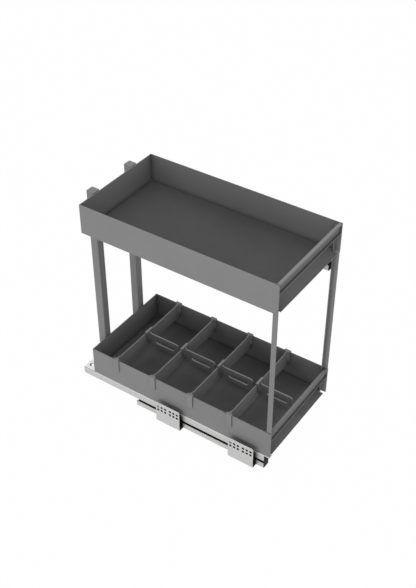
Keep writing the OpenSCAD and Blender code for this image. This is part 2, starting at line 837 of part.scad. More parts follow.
// Tongue divider: a saddle over a cross divider and a slotted tongue in front of it
module tongue_divider(k) {
    grip = div_t / 2 + clip_gap;
    side_x = grip + clip_t;
    rise = clip_gap + saddle_t;
    if (k <= div_count) {
        placed() translate([div_x(k), tray_w / 2, lower_rim_z]) color(MID) {
            for (m = [0, 1]) {
                mirror([m, 0, 0]) translate([grip, 0, clip_gap + eps])
                    along_x(clip_t) tab_outline(saddle_l, inner_tab_h, tab_r);
            }
            translate([0, -saddle_l / 2, clip_gap]) along_y(saddle_l) difference() {
                translate([-side_x, 0]) square([2 * side_x, saddle_t]);
                for (m = [0, 1]) {
                    mirror([m, 0]) translate([-side_x, saddle_t]) mirror([0, 1]) corner_waste(saddle_r);
                }
            }
            translate([side_x - eps, -tongue_t / 2, 0]) along_y(tongue_t) tongue_outline();
            translate([side_x - eps, -tongue_t / 2, -tongue_drop - eps]) along_y(tongue_t) difference() {
                square(tongue_drop + rise);
                translate([tongue_drop + rise, tongue_drop + rise]) circle(tongue_drop + rise);
            }
            translate([side_x - eps, 0, tab_r - inner_tab_h])
                linear_extrude(inner_tab_h - tab_r - tongue_drop)
                rotate([0, 0, 90]) flare_plan(tongue_t, flare_r);
        }
    }
}

side_panel(upper_z, false, false, false);  // upper_near_side
side_panel(upper_z, true, true, false);  // upper_far_side
back_panel(upper_z);  // upper_back
tray_floor(upper_z, tray_l, floor_lip_h, true);  // upper_floor
tray_mat(upper_z, tray_l);  // upper_mat
front_rail(upper_rim_z, upper_rail_h, upper_nose_r, true);  // upper_front_rail
side_panel(lower_z, false, true, true);  // lower_near_side
side_panel(lower_z, true, false, false);  // lower_far_side
back_panel(lower_z);  // lower_back
tray_floor(lower_z, tray_l - lower_floor_setback, 0, false);  // lower_floor
tray_mat(lower_z, tray_l - lower_floor_setback);  // lower_mat
front_rail(lower_rim_z, lower_rail_h, lower_nose_r, false);  // lower_front_rail
front_post(false);  // near_front_post
front_post(true);  // far_front_post
rear_post(false);  // near_rear_post
rear_post(true);  // far_rear_post
rear_post_pads();
rear_post_caps();
cabinet_rail(false);  // lower_cabinet_rail
middle_rail(false);  // lower_middle_rail
drawer_rail(false);  // lower_drawer_rail
carrier_strip(false);  // lower_carrier_strip
cabinet_cage(false);  // lower_cabinet_cage
drawer_cage(false);  // lower_drawer_cage
ball_set(false, low_cage_x, low_cage_l, low_ball_z);  // lower_cabinet_balls
ball_set(false, high_cage_x, high_cage_l, high_ball_z);  // lower_drawer_balls
end_cap(false);  // lower_end_cap
bracket(false, 1);  // lower_rear_bracket
bracket(false, 0);  // lower_front_bracket
slide_screws(false);  // lower_slide_screws
cabinet_rail(true);  // upper_cabinet_rail
middle_rail(true);  // upper_middle_rail
drawer_rail(true);  // upper_drawer_rail
carrier_strip(true);  // upper_carrier_strip
cabinet_cage(true);  // upper_cabinet_cage
drawer_cage(true);  // upper_drawer_cage
ball_set(true, low_cage_x, low_cage_l, low_ball_z);  // upper_cabinet_balls
ball_set(true, high_cage_x, high_cage_l, high_ball_z);  // upper_drawer_balls
end_cap(true);  // upper_end_cap
bracket(true, 1);  // upper_rear_bracket
bracket(true, 0);  // upper_front_bracket
slide_screws(true);  // upper_slide_screws
upper_spacer_bar();
bracket_rivets();
cross_divider(1);  // cross_divider_1
cross_divider(2);  // cross_divider_2
cross_divider(3);  // cross_divider_3
cross_divider(4);  // cross_divider_4
tongue_divider(1);  // tongue_divider_1
tongue_divider(2);  // tongue_divider_2
tongue_divider(3);  // tongue_divider_3
tongue_divider(4);  // tongue_divider_4
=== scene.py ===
"""Looks of a two-tier pull-out organizer: folded trays on posts, ball slides and dividers."""
import math

import bmesh
import bpy
from bpy.props import FloatProperty, FloatVectorProperty, PointerProperty
from bpy.types import Operator, Panel, PropertyGroup
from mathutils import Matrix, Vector


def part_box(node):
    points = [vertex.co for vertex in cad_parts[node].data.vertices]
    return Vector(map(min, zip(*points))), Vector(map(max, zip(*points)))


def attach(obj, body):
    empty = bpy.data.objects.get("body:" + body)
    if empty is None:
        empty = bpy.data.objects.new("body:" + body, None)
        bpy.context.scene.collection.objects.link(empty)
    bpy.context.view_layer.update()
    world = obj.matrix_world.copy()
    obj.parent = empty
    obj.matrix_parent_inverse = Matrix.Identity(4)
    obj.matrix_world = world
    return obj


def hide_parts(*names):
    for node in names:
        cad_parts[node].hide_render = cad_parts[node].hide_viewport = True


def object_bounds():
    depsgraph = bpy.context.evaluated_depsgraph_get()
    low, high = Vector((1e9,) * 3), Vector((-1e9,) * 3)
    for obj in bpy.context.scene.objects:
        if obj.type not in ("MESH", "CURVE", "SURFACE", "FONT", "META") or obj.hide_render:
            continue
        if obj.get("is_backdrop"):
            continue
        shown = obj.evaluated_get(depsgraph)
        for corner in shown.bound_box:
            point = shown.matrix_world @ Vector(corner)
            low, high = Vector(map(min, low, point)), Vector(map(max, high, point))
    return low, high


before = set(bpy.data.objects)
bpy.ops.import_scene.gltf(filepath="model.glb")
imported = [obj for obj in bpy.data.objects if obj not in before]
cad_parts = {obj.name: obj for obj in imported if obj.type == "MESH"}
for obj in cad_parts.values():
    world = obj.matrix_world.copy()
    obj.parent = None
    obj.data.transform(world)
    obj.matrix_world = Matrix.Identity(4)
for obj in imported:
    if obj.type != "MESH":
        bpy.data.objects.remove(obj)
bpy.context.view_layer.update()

bl_info = {
    "name": "Pull-out organizer",
    "version": (1, 0, 0),
    "blender": (4, 5, 0),
    "location": "View3D > Sidebar > Organizer",
    "description": "Dresses a two-tier pull-out organizer for a kitchen cabinet",
    "category": "Object",
}

MM = 0.001
TIERS = ("lower", "upper")
DIVIDERS = (1, 2, 3, 4)

# Holes near a slide's rear end: distance from the end, radius
HOOK_IN, HOOK_R = 11.0 * MM, 5.0 * MM
LOCATE_IN, LOCATE_R = 51.9 * MM, 1.8 * MM
# Wall faces of a bore lie within its radius and this margin
BORE_MARGIN = 0.4 * MM
# Holes of a bracket: least distance from the outline, and the depth that holds the plate
# but not the flange
HOLE_INSET, PLATE_DEPTH = 1.5 * MM, 2.5 * MM
# Depth of a cabinet rail's lip below its top
LIP_DEPTH = 0.5 * MM
# Rivets: head, the part of its radius left at the flat end, shank, distance of a pair
RIVET_HEAD_R, RIVET_HEAD_H, RIVET_TAPER = 4.3 * MM, 1.2 * MM, 0.72
RIVET_SHANK_R, RIVET_SHANK_L = 2.4 * MM, 3.3 * MM
RIVET_PITCH = 40 * MM
# Roundings of the plastic caps
REAR_CAP_EDGE, END_CAP_EDGE = 0.5 * MM, 0.3 * MM

# Clean-up and shading of the copied forms
MERGE_WITHIN = 0.002 * MM
FLAT_WITHIN = math.radians(0.4)
ROUND_FROM = math.radians(40)
SHARP_FROM = math.radians(38)
RIM_ANGLE = math.radians(60)

# Reach of the painted shade from ambient occlusion: how near surfaces stand that darken each other
COAT_REACH, COAT_WALL_REACH = 12 * MM, 90 * MM
MAT_REACH, ZINC_REACH, PLASTIC_REACH = 60 * MM, 22 * MM, 4 * MM
OCCLUSION_SHADE_SAMPLES = 16
# Where painted light makes the mats paler: start and end, back from the front edge and from the
# first divider
FRONT_LIGHT_FROM, FRONT_LIGHT_TO = 48 * MM, 18 * MM
CELL_TONE_FROM, CELL_TONE_TO = 45 * MM, 20 * MM
# Sockets of the mix node that carry colours
MIX_FIRST, MIX_SECOND, MIX_RESULT = 6, 7, 2

# Camera of the photograph, in the frame of the part
IMAGE_LONG_SIDE = 588
CAMERA_FOCAL_PX = 1001.33
CAMERA_PLACE = (0.76464, -1.24620, 1.59138)
CAMERA_AZIMUTH = math.radians(34.236)
CAMERA_ELEVATION = math.radians(38.665)
SENSOR_MM = 36.0


# ---------------------------------------------------------------- settings

class OrganizerSheetSettings(PropertyGroup):
    """Sizes and colours of the folded steel"""
    paint: FloatVectorProperty(
        name="Paint", description="Colour of the powder-coated steel", subtype="COLOR", size=3,
        min=0.0, max=1.0, default=(0.215, 0.215, 0.216))
    peel_size: FloatProperty(
        name="Peel size", description="Size of the ripples in the powder coat", unit="LENGTH",
        min=0.0002, max=0.005, default=0.0011)
    edge: FloatProperty(
        name="Edge radius", description="Rounding of the sheet's cut edges", unit="LENGTH",
        min=0.0, max=0.0007, default=0.00035)


class OrganizerMatSettings(PropertyGroup):
    """Sizes and colours of the non-slip mats"""
    rubber: FloatVectorProperty(
        name="Rubber", description="Colour of the mats", subtype="COLOR", size=3,
        min=0.0, max=1.0, default=(0.068, 0.068, 0.069))
    grain: FloatProperty(
        name="Grain", description="Size of the mat's moulded grain", unit="LENGTH",
        min=0.0003, max=0.005, default=0.0013)
    # Painted light: the mats are made paler along the front edge, where more light falls
    front_wear: FloatProperty(
        name="Front light", description="How many times paler the mats are along the front edge",
        min=1.0, max=3.0, default=1.6)
    # Painted light: one rubber made paler by these tones, the lower mat most, under the shade of
    # the upper tray
    upper_tone: FloatProperty(
        name="Upper tone", description="How many times paler the upper mat is",
        min=0.5, max=2.0, default=1.14)
    # Painted light: the rear cell of the lower mat is made paler still, against the shade that
    # falls there
    cell_tone: FloatProperty(
        name="Rear cell tone",
        description="How many times paler still the lower mat is behind the first divider",
        min=0.5, max=2.0, default=1.15)
    lower_tone: FloatProperty(
        name="Lower tone", description="How many times paler the lower mat is",
        min=0.5, max=2.0, default=1.58)
    edge: FloatProperty(
        name="Edge radius", description="Rounding of the mat's edges", unit="LENGTH",
        min=0.0, max=0.0005, default=0.0004)


class OrganizerSlideSettings(PropertyGroup):
    """Sizes and colours of the slides and brackets"""
    zinc: FloatVectorProperty(
        name="Zinc", description="Colour of the zinc-plated steel", subtype="COLOR", size=3,
        min=0.0, max=1.0, default=(0.62, 0.62, 0.615))
    bright: FloatVectorProperty(
        name="Bright steel", description="Colour of screws and rivets", subtype="COLOR", size=3,
        min=0.0, max=1.0, default=(0.50, 0.50, 0.51))
    # Near-black steel of the middle rails, cages and balls: grease, and painted shade of the dark
    # gap between the rails
    greased: FloatVectorProperty(
        name="Greased steel", description="Colour of the greased middle rails, cages and balls",
        subtype="COLOR", size=3, min=0.0, max=1.0, default=(0.06, 0.06, 0.06))
    # Painted shade: a near-black colour put on bore walls, hole rims, flange ends and strip edges
    # where shadow falls
    sheared: FloatVectorProperty(
        name="Sheared steel", description="Colour of bare hole rims and sheared edges",
        subtype="COLOR", size=3, min=0.0, max=1.0, default=(0.03, 0.03, 0.03))
    cap: FloatVectorProperty(
        name="Cap", description="Colour of the plastic end caps", subtype="COLOR", size=3,
        min=0.0, max=1.0, default=(0.009, 0.009, 0.009))
    edge: FloatProperty(
        name="Edge radius", description="Rounding of the drawn rails' edges", unit="LENGTH",
        min=0.0, max=0.0004, default=0.0002)
    bracket_edge: FloatProperty(
        name="Bracket edge radius", description="Rounding of the brackets' punched edges",
        unit="LENGTH", min=0.0, max=0.0007, default=0.00035)
    hole_chamfer: FloatProperty(
        name="Hole chamfer",
        description="Width of the chamfer on the outer rims of the brackets' holes",
        unit="LENGTH", min=0.0001, max=0.0008, default=0.0005)
    ball_radius: FloatProperty(
        name="Ball radius", description="Radius of a bearing ball", unit="LENGTH",
        min=0.001, max=0.003, default=0.0025)
    ball_pitch: FloatProperty(
        name="Ball pitch", description="Distance between neighbouring balls", unit="LENGTH",
        min=0.006, max=0.04, default=0.02)


class OrganizerDividerSettings(PropertyGroup):
    """Sizes and colours of the plastic dividers"""
    plastic: FloatVectorProperty(
        name="Plastic", description="Colour of the moulded dividers", subtype="COLOR", size=3,
        min=0.0, max=1.0, default=(0.225, 0.225, 0.226))
    grain: FloatProperty(
        name="Grain", description="Size of the moulded grain", unit="LENGTH",
        min=0.0002, max=0.003, default=0.0006)
    edge: FloatProperty(
        name="Edge radius", description="Rounding of the dividers' edges", unit="LENGTH",
        min=0.0, max=0.001, default=0.00035)


class OrganizerStageSettings(PropertyGroup):
    """Floor, lamps and world"""
    floor_size: FloatProperty(
        name="Floor size", description="Side of the square floor", unit="LENGTH",
        min=2.0, max=40.0, default=16.0)
    floor_drop: FloatProperty(
        name="Floor drop", description="How far the hanging unit stands above the floor",
        unit="LENGTH", min=0.0002, max=0.2, default=0.04)
    floor_grey: FloatProperty(
        name="Floor grey", description="How much light the floor throws back",
        min=0.0, max=1.0, default=0.5)
    sky: FloatProperty(
        name="Sky", description="Strength of the even light from all sides",
        min=0.0, max=2.0, default=0.66)
    side: FloatProperty(
        name="Side lamp", description="Strength of the low lamp on the near side",
        min=0.0, max=4.0, default=0.28)
    top: FloatProperty(
        name="Top lamp", description="Strength of the lamp overhead",
        min=0.0, max=4.0, default=0.33)


# ---------------------------------------------------------------- materials

def new_finish(name):
    """An empty material with a principled shader; returns the material, its tree and the shader."""
    finish = bpy.data.materials.new(name)
    finish.use_nodes = True
    tree = finish.node_tree
    tree.nodes.clear()
    output = tree.nodes.new("ShaderNodeOutputMaterial")
    shader = tree.nodes.new("ShaderNodeBsdfPrincipled")
    tree.links.new(shader.outputs["BSDF"], output.inputs["Surface"])
    return finish, tree, shader


def object_pattern(tree, stretch=(1.0, 1.0, 1.0)):
    """Object coordinates, stretched along the axes."""
    place = tree.nodes.new("ShaderNodeTexCoord")
    mapping = tree.nodes.new("ShaderNodeMapping")
    mapping.inputs["Scale"].default_value = stretch
    tree.links.new(place.outputs["Object"], mapping.inputs["Vector"])
    return mapping.outputs["Vector"]


def noise_of(tree, where, scale, detail=3.0, roughness=0.55):
    """A noise pattern's factor."""
    noise = tree.nodes.new("ShaderNodeTexNoise")
    noise.inputs["Scale"].default_value = scale
    noise.inputs["Detail"].default_value = detail
    noise.inputs["Roughness"].default_value = roughness
    tree.links.new(where, noise.inputs["Vector"])
    return noise.outputs["Fac"]


def cells_of(tree, where, scale):
    """A cell pattern's distance to the nearest cell centre."""
    cells = tree.nodes.new("ShaderNodeTexVoronoi")
    cells.inputs["Scale"].default_value = scale
    tree.links.new(where, cells.inputs["Vector"])
    return cells.outputs["Distance"]


def blend_colours(tree, factor, low, high, start=0.3, end=0.7):
    """A colour that goes from low to high as the factor goes from start to end."""
    ramp = tree.nodes.new("ShaderNodeValToRGB")
    ramp.color_ramp.elements[0].position = start
    ramp.color_ramp.elements[0].color = (*low, 1.0)
    ramp.color_ramp.elements[1].position = end
    ramp.color_ramp.elements[1].color = (*high, 1.0)
    tree.links.new(factor, ramp.inputs["Fac"])
    return ramp.outputs["Color"]


def blend_values(tree, factor, low, high, start=0.3, end=0.7):
    """A value that goes from low to high as the factor goes from start to end."""
    spread = tree.nodes.new("ShaderNodeMapRange")
    for socket, value in zip(("From Min", "From Max", "To Min", "To Max"), (start, end, low, high)):
        spread.inputs[socket].default_value = value
    tree.links.new(factor, spread.inputs["Value"])
    return spread.outputs["Result"]


def mix_colours(tree, first, second, mode):
    """Two colours, fully mixed in the given mode."""
    mix = tree.nodes.new("ShaderNodeMix")
    mix.data_type = "RGBA"
    mix.blend_type = mode
    mix.inputs[0].default_value = 1.0
    tree.links.new(first, mix.inputs[MIX_FIRST])
    tree.links.new(second, mix.inputs[MIX_SECOND])
    return mix.outputs[MIX_RESULT]


def multiply_colours(tree, first, second):
    """The product of two colours."""
    return mix_colours(tree, first, second, "MULTIPLY")


def lighter_of(tree, first, second):
    """The lighter of two colours, channel by channel."""
    return mix_colours(tree, first, second, "LIGHTEN")


def raise_surface(tree, shader, layers):
    """Bumps on the shader: (height, strength, depth) layers, one on the other."""
    below = None
    for height, strength, depth in layers:
        bump = tree.nodes.new("ShaderNodeBump")
        bump.inputs["Strength"].default_value = strength
        bump.inputs["Distance"].default_value = depth
        tree.links.new(height, bump.inputs["Height"])
        if below is not None:
            tree.links.new(below, bump.inputs["Normal"])
        below = bump.outputs["Normal"]
    tree.links.new(below, shader.inputs["Normal"])


def upward(tree):
    """1 on surfaces that face straight up, 0 on upright ones, -1 on those that face down."""
    surface = tree.nodes.new("ShaderNodeNewGeometry")
    parts = tree.nodes.new("ShaderNodeSeparateXYZ")
    tree.links.new(surface.outputs["Normal"], parts.inputs["Vector"])
    return parts.outputs["Z"]


def occlusion_shade(tree, reach, low, start=0.35, end=0.95):
    """Painted shade from ambient occlusion: a grey that is white in the open and goes to low where
    surfaces stand close together.
    """
    hollow = tree.nodes.new("ShaderNodeAmbientOcclusion")
    hollow.samples = OCCLUSION_SHADE_SAMPLES
    hollow.inputs["Distance"].default_value = reach
    return blend_colours(tree, hollow.outputs["AO"], grey(low), grey(1.0), start, end)


def grey(level):
    """A colour without a hue."""
    return (level, level, level)


def shade(colour, factor):
    """A colour made lighter or darker."""
    return tuple(min(1.0, channel * factor) for channel in colour)


def powder_coat(name, settings, inside=1.0, side=1.0, under=1.0, hollow=0.5):
    """Grey powder coat: a fine peel, soft clouds and a few tiny pale specks, with painted light and
    shade.

    side and under are painted tones of upright faces and undersides, whose painted light lifts
    faces that look up back to the paint; inside is the painted shade of wide hollows and hollow
    that of narrow ones.
    """
    finish, tree, shader = new_finish(name)
    where = object_pattern(tree)
    clouds = noise_of(tree, where, 7.0, 4.0)
    peel = noise_of(tree, where, 1.0 / settings.peel_size, 2.0, 0.4)
    specks = cells_of(tree, where, 420.0)
    base = blend_colours(tree, clouds, shade(settings.paint, 0.95), shade(settings.paint, 1.05))
    dust_and_painted_light = blend_colours(tree, specks, grey(1.18), grey(1.0), 0.035, 0.06)
    facing = blend_values(tree, upward(tree), 0.0, 1.0, -1.0, 1.0)
    # Painted light and shade by facing: upright faces and undersides take the side and under tones,
    # faces that look up are lifted back
    facing_shade = blend_colours(tree, facing, grey(under), grey(side), 0.2, 0.45)
    level = blend_colours(tree, facing, grey(1.0), grey(1.0 / side), 0.68, 0.985)
    clean = multiply_colours(
        tree, multiply_colours(tree, base, dust_and_painted_light), multiply_colours(tree, facing_shade, level))
    # Painted shade from ambient occlusion, in narrow hollows and then in wide ones
    shaded = multiply_colours(tree, clean, occlusion_shade(tree, COAT_REACH, hollow, 0.3, 1.0))
    wide_hollow_shade = occlusion_shade(tree, COAT_WALL_REACH, inside, 0.45, 0.95)
    tree.links.new(multiply_colours(tree, shaded, wide_hollow_shade), shader.inputs["Base Color"])
    tree.links.new(blend_values(tree, peel, 0.45, 0.57), shader.inputs["Roughness"])
    shader.inputs["Specular IOR Level"].default_value = 0.35
    raise_surface(tree, shader, ((peel, 0.22, 0.00012),))
    return finish


def mat_rubber(name, settings, tone, front, cell, cell_tone):
    """Dark non-slip mat: small moulded cells with a fine grain, with painted light that makes its
    front edge paler.

    tone is the tier's painted light; front is the X of that edge; behind the X of cell the mat has
    its cell_tone of painted light too, and ambient occlusion paints shade near the walls.
    """
    finish, tree, shader = new_finish(name)
    where = object_pattern(tree)
    cells = cells_of(tree, where, 1.0 / settings.grain)
    grain = noise_of(tree, where, 2400.0, 2.0)
    clouds = noise_of(tree, where, 9.0, 3.0)
    # Painted light: the rubber lifted by the tier tone and the front light, which is taken back
    # behind the front edge
    rubbed = shade(settings.rubber, tone * settings.front_wear)
    base = blend_colours(tree, clouds, shade(rubbed, 0.92), shade(rubbed, 1.08))
    pits = blend_colours(tree, cells, grey(1.06), grey(0.86), 0.1, 0.75)
    place = tree.nodes.new("ShaderNodeSeparateXYZ")
    tree.links.new(where, place.inputs["Vector"])
    at_front = blend_values(
        tree, place.outputs["X"], 0.0, 1.0, front - FRONT_LIGHT_FROM, front - FRONT_LIGHT_TO)
    painted_light = blend_colours(tree, at_front, grey(1.0 / settings.front_wear), grey(1.0), 0.0, 1.0)
    # Painted light on the rear cell of the lower mat
    in_cell = blend_values(
        tree, place.outputs["X"], 1.0, 0.0, cell - CELL_TONE_FROM, cell - CELL_TONE_TO)
    dust_and_painted_light = blend_colours(tree, in_cell, grey(1.0), grey(cell_tone), 0.0, 1.0)
    painted_light = multiply_colours(tree, painted_light, dust_and_painted_light)
    lit_rubber = multiply_colours(tree, multiply_colours(tree, base, pits), painted_light)
    # Painted shade from ambient occlusion near the walls
    walls = occlusion_shade(tree, MAT_REACH, 0.9, 0.5, 0.95)
    tree.links.new(multiply_colours(tree, lit_rubber, walls), shader.inputs["Base Color"])
    tree.links.new(blend_values(tree, grain, 0.72, 0.86), shader.inputs["Roughness"])
    shader.inputs["Specular IOR Level"].default_value = 0.22
    raise_surface(tree, shader, ((cells, 0.35, 0.00018), (grain, 0.15, 0.00005)))
    return finish


def zinc_plate(name, settings, topped=0.95):
    """Zinc-plated steel with fine rolling lines lengthwise, with painted light on faces that look
    up and painted shade in its hollows.

    The last argument is the least painted-light tone of faces that look up, in hollows too; 0 lets
    the painted shade darken them.
    """
    finish, tree, shader = new_finish(name)
    lines = noise_of(tree, object_pattern(tree, (6.0, 700.0, 700.0)), 1.0, 3.0, 0.6)
    clouds = noise_of(tree, object_pattern(tree), 26.0, 4.0)
    # Painted light: faces that look up are made paler, almost white
    tone = blend_colours(tree, upward(tree), shade(settings.zinc, 0.94), grey(0.98), 0.3, 0.9)
    grain = blend_colours(tree, lines, grey(0.96), grey(1.0))
    clean = multiply_colours(tree, tone, grain)
    # Painted light keeps faces that look up clear of the painted shade of hollows
    top = blend_colours(tree, upward(tree), grey(0.0), grey(topped), 0.5, 0.9)
    painted_zinc_shade = lighter_of(tree, occlusion_shade(tree, ZINC_REACH, 0.03, 0.52, 0.8), top)
    tree.links.new(multiply_colours(tree, clean, painted_zinc_shade), shader.inputs["Base Color"])
    shader.inputs["Metallic"].default_value = 0.2
    shader.inputs["Specular IOR Level"].default_value = 0.4
    tree.links.new(blend_values(tree, clouds, 0.38, 0.46), shader.inputs["Roughness"])
    raise_surface(tree, shader, ((lines, 0.06, 0.00003),))
    return finish


def bright_steel(name, colour, rough):
    """Bare steel with a thin film of oil: screws and rivets, the greased parts darkened as painted
    shade, and the near-black painted shade on bore walls, hole rims and edges.
    """
    finish, tree, shader = new_finish(name)
    where = object_pattern(tree)
    film = noise_of(tree, where, 120.0, 3.0)
    scratch = noise_of(tree, object_pattern(tree, (900.0, 900.0, 120.0)), 1.0, 2.0)
    base = blend_colours(tree, film, shade(colour, 0.85), shade(colour, 1.1))
    tree.links.new(base, shader.inputs["Base Color"])
    shader.inputs["Metallic"].default_value = 1.0
    tree.links.new(blend_values(tree, film, rough - 0.06, rough + 0.1), shader.inputs["Roughness"])
    raise_surface(tree, shader, ((scratch, 0.08, 0.00002),))
    return finish


def moulded_plastic(name, colour, grain_size, rough=0.48, specular=0.35, rubbed=1.0):
    """Moulded plastic with a fine eroded grain and flow clouds, with painted light that makes it
    paler where it faces up and painted shade in narrow hollows.
    """
    finish, tree, shader = new_finish(name)
    where = object_pattern(tree)
    grain = noise_of(tree, where, 1.0 / grain_size, 3.0, 0.6)
    flow = noise_of(tree, where, 18.0, 3.0)
    pale = shade(colour, rubbed)
    base = blend_colours(tree, flow, shade(pale, 0.94), shade(pale, 1.06))
    pits = blend_colours(tree, grain, grey(0.93), grey(1.04), 0.35, 0.65)
    clean = multiply_colours(tree, base, pits)
    # Painted light: faces that do not look up are taken back from the lifted colour
    edges = blend_colours(tree, upward(tree), grey(1.0 / rubbed), grey(1.0), 0.2, 0.7)
    clean = multiply_colours(tree, clean, edges)
    # Painted shade from ambient occlusion in narrow hollows
    shaded = multiply_colours(tree, clean, occlusion_shade(tree, PLASTIC_REACH, 0.7))
    tree.links.new(shaded, shader.inputs["Base Color"])
    gloss = blend_values(tree, grain, rough - 0.06, rough + 0.08)
    tree.links.new(gloss, shader.inputs["Roughness"])
    shader.inputs["Specular IOR Level"].default_value = specular
    raise_surface(tree, shader, ((grain, 0.2, 0.00008),))
    return finish


def finish_called(name, maker, *values, **tones):
    """The material of that name, made once."""
    return bpy.data.materials.get(name) or maker(name, *values, **tones)


def paint_finish(context):
    """Powder coat of the trays, with painted shade in wide and narrow hollows."""
    return finish_called(
        "grey_powder_coat", powder_coat, context.scene.organizer_sheet, inside=0.72)


def rail_finish(context):
    """Powder coat of the front rails, with painted shade on upright faces and in hollows and
    painted light on undersides.
    """
    return finish_called(
        "grey_rail_coat", powder_coat, context.scene.organizer_sheet,
        inside=0.72, side=0.74, under=1.2, hollow=0.7)


def post_finish(context):
    """Powder coat of the posts and the lower rear wall, the same in wide hollows, with painted
    shade only in narrow ones.
    """
    return finish_called("grey_post_coat", powder_coat, context.scene.organizer_sheet)


def far_post_finish(context):
    """Powder coat of the far front post, with painted light that makes upright faces and undersides
    paler, and painted shade in narrow hollows.
    """
    return finish_called(
        "grey_far_post_coat", powder_coat, context.scene.organizer_sheet,
        inside=1.0, side=1.3, under=1.3)


def zinc_finish(context):
    """Zinc of the rails, strips and spacer bar, with painted light on all faces that look up and
    painted shade in hollows.
    """
    return finish_called("zinc_plated_steel", zinc_plate, context.scene.organizer_slide)


def bracket_finish(context):
    """Zinc of the brackets and the cabinet rails' lips, with painted shade in hollows on faces that
    look up too.
    """
    return finish_called(
        "zinc_plated_bracket", zinc_plate, context.scene.organizer_slide, topped=0.0)


def steel_finish(context, kind, rough):
    """Bare steel in the colour of the setting of that name."""
    colour = tuple(getattr(context.scene.organizer_slide, kind))
    return finish_called(f"{kind}_steel", bright_steel, colour, rough)


def greased_and_shaded_finish(context):
    """Near-black steel of the middle rails, cages and balls: greased, and darkened as painted shade
    of the gap between the rails.
    """
    return steel_finish(context, "greased", 0.4)


def bright_finish(context):
    """Steel of the screws and rivets."""
    return steel_finish(context, "bright", 0.22)


def shade_black_finish(context):
    """Near-black painted shade on hole rims, bore walls and edges where shadow falls."""
    return steel_finish(context, "sheared", 0.6)


# ---------------------------------------------------------------- geometry

def cad_copy(node):
    """A clean copy of a CAD node: loose triangles merged, flat faces joined."""
    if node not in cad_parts:
        raise RuntimeError(f"the frame has no node {node}")
    shape = bmesh.new()
    shape.from_mesh(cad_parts[node].data)
    bmesh.ops.remove_doubles(shape, verts=shape.verts, dist=MERGE_WITHIN)
    bmesh.ops.dissolve_limit(
        shape, angle_limit=FLAT_WITHIN, verts=shape.verts, edges=shape.edges)
    bmesh.ops.recalc_face_normals(shape, faces=shape.faces)
    return shape


def bake_modifiers(piece):
    """Replaces the piece's mesh by what its modifiers make of it."""
    graph = bpy.context.evaluated_depsgraph_get()
    mesh = bpy.data.meshes.new_from_object(piece.evaluated_get(graph))
    piece.modifiers.clear()
    old = piece.data
    piece.data = mesh
    bpy.data.meshes.remove(old)
    mesh.name = piece.name


def soften(piece, edge, segments=2):
    """Rounds the piece's sharp edges and evens its shading."""
    if edge > 0:
        rounding = piece.modifiers.new("Rounding", "BEVEL")
        rounding.width = edge
        rounding.segments = segments
        rounding.limit_method = "ANGLE"
        rounding.angle_limit = ROUND_FROM
        rounding.miter_outer = "MITER_ARC"
        rounding.use_clamp_overlap = True
        bake_modifiers(piece)
    mesh = piece.data
    mesh.polygons.foreach_set("use_smooth", [True] * len(mesh.polygons))
    mesh.set_sharp_from_angle(angle=SHARP_FROM)
    evening = piece.modifiers.new("Shading", "WEIGHTED_NORMAL")
    evening.keep_sharp = True
    bake_modifiers(piece)


def paint_mesh(mesh, finish):
    """Gives a whole mesh one finish."""
    mesh.materials.clear()
    mesh.materials.append(finish)


def place_piece(name, mesh, body, stands_for):
    """Links a mesh as a piece that rides on a body and stands for CAD nodes."""
    piece = bpy.data.objects.new(name, mesh)
    bpy.context.scene.collection.objects.link(piece)
    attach(piece, body)
    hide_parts(*stands_for)
    return piece


def dressed_node(name, node, finish, body, edge, segments=2, prepare=None):
    """A piece with the CAD node's form, rounded edges and a finish.

    prepare may work on the form before its edges are rounded.
    """
    shape = cad_copy(node)
    if prepare is not None:
        prepare(shape)
    mesh = bpy.data.meshes.new(name)
    shape.to_mesh(mesh)
    shape.free()
    paint_mesh(mesh, finish)
    piece = place_piece(name, mesh, body, (node,))
    soften(piece, edge, segments)
    return piece


def refinish(mesh, finish, is_chosen):
    """Gives the chosen faces of a mesh a second finish."""
    mesh.materials.append(finish)
    chosen = [face for face in mesh.polygons if is_chosen(face)]
    if not chosen:
        raise RuntimeError(f"{mesh.name} has no face to refinish")
    for face in chosen:
        face.material_index = len(mesh.materials) - 1


def within_outline(vertices, inset):
    """A test for points inside the vertices' bounds, seen along Y, by at least the inset."""
    xs, _, zs = zip(*(vertex.co for vertex in vertices))
    left, right = min(xs) + inset, max(xs) - inset
    bottom, top = min(zs) + inset, max(zs) - inset
    return lambda point: left < point.x < right and bottom < point.z < top


def darken_bore(piece, finish, centre, axis, radius):
    """Gives the wall and rim of one bore a second finish."""
    def is_wall(face):
        offset = face.center - Vector(centre)
        from_axis = (offset - offset.dot(axis) * axis).length
        return from_axis < radius + BORE_MARGIN and abs(face.normal.dot(axis)) < 0.97

    refinish(piece.data, finish, is_wall)


def paint_node(node, finish):
    """Gives a CAD node that stays as it is its finish."""
    paint_mesh(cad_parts[node].data, finish)


# ---------------------------------------------------------------- geometry nodes

def new_tree(name, inputs):
    """A geometry tree with named inputs; returns the tree, its input node and its output node."""
    tree = bpy.data.node_groups.new(name, "GeometryNodeTree")
    tree.interface.new_socket("Geometry", in_out="INPUT", socket_type="NodeSocketGeometry")
    for label, kind, value in inputs:
        socket = tree.interface.new_socket(label, in_out="INPUT", socket_type=kind)
        if value is not None:
            socket.default_value = value
    tree.interface.new_socket("Geometry", in_out="OUTPUT", socket_type="NodeSocketGeometry")
    return tree, tree.nodes.new("NodeGroupInput"), tree.nodes.new("NodeGroupOutput")


GRID_INPUTS = (
    ("Start", "NodeSocketVector", None),
    ("Column step", "NodeSocketVector", None),
    ("Columns", "NodeSocketInt", 2),
    ("Row step", "NodeSocketVector", None),
    ("Rows", "NodeSocketInt", 2),
    ("Finish", "NodeSocketMaterial", None),
)


